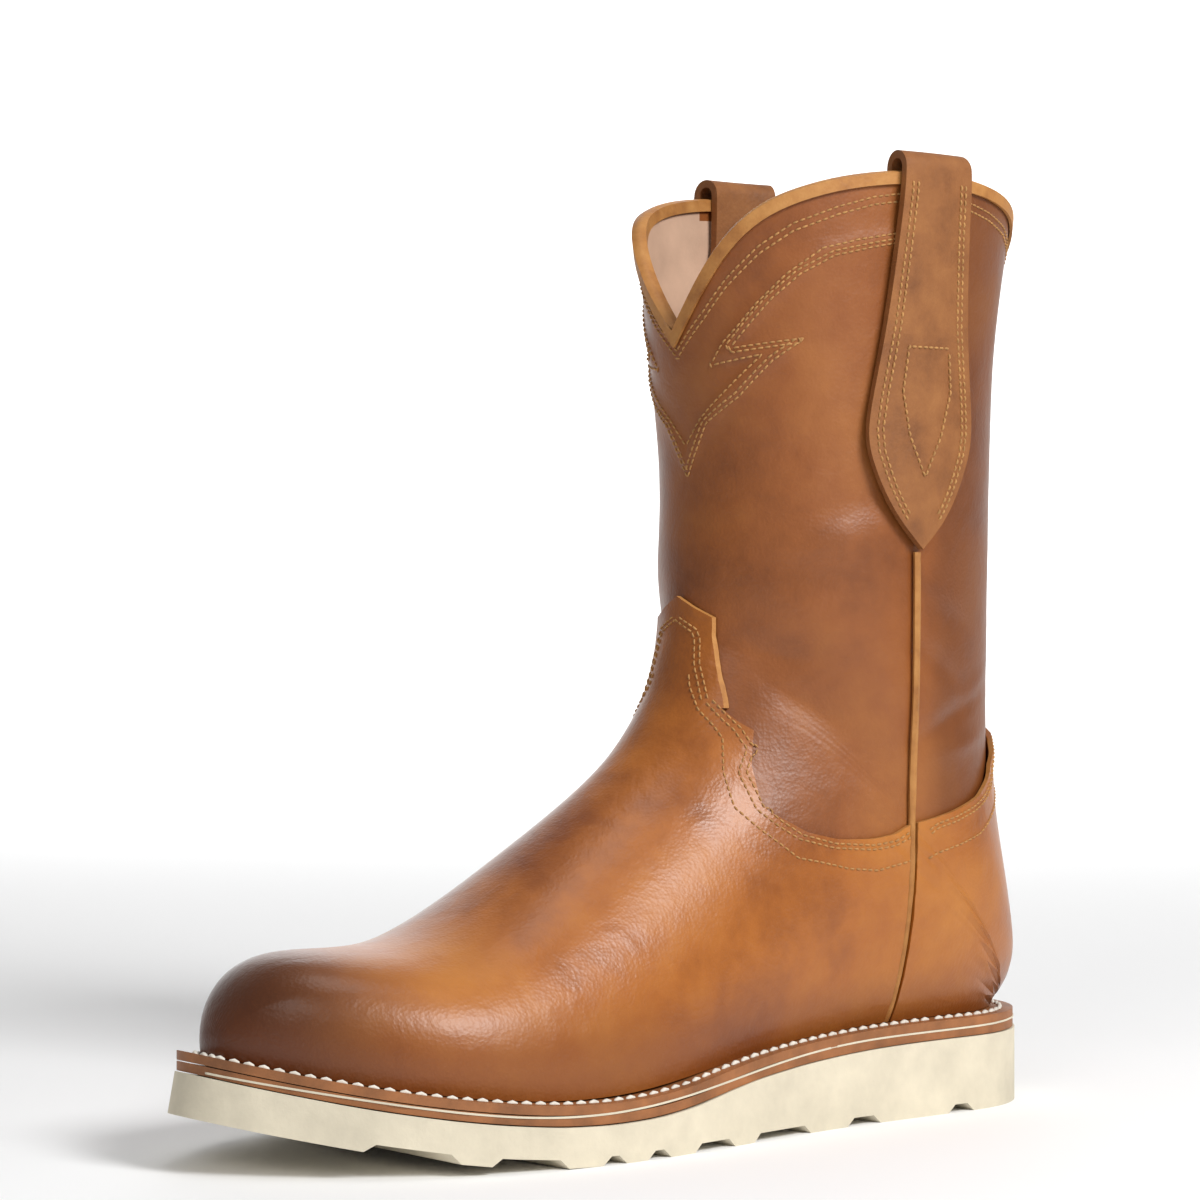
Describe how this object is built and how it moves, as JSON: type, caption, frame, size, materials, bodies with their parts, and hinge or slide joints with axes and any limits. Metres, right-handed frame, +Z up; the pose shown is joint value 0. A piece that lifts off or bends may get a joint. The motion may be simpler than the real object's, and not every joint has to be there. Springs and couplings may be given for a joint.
{
  "type": "work boot",
  "caption": "Pull-on leather work boot with a scalloped collar, pull straps, tongued vamp, leather welt and flat cream wedge sole.",
  "frame": {"origin": "centre of the bounding box in plan, on the plane the sole stands on", "axes": "+Z up, -Y towards the toe, +X towards the outer, little-toe side of this left boot"},
  "size_m": [0.1134, 0.312, 0.307],
  "materials": {
    "upper_leather": "oiled pull-up leather, satin, mid reddish brown",
    "vamp_leather": "oiled pull-up leather, satin, golden tan with a darker burnished toe",
    "strap_leather": "matt, raw edges",
    "edge_leather": "satin, yellow tan",
    "welt_leather": "dyed cut edge, matt",
    "footbed_leather": "matt",
    "sole_rubber": "matt cream foam rubber"
  },
  "bodies": {
    "root": {"outsole": "sole_rubber", "midsole": "welt_leather", "welt": "welt_leather", "insole": "footbed_leather", "upper": "upper_leather", "vamp": "vamp_leather", "counter": "vamp_leather", "collar_binding": "edge_leather", "side_piping_outer": "edge_leather", "side_piping_inner": "edge_leather", "pull_strap_outer": "strap_leather", "pull_strap_inner": "strap_leather"}
  },
  "joints": []
}
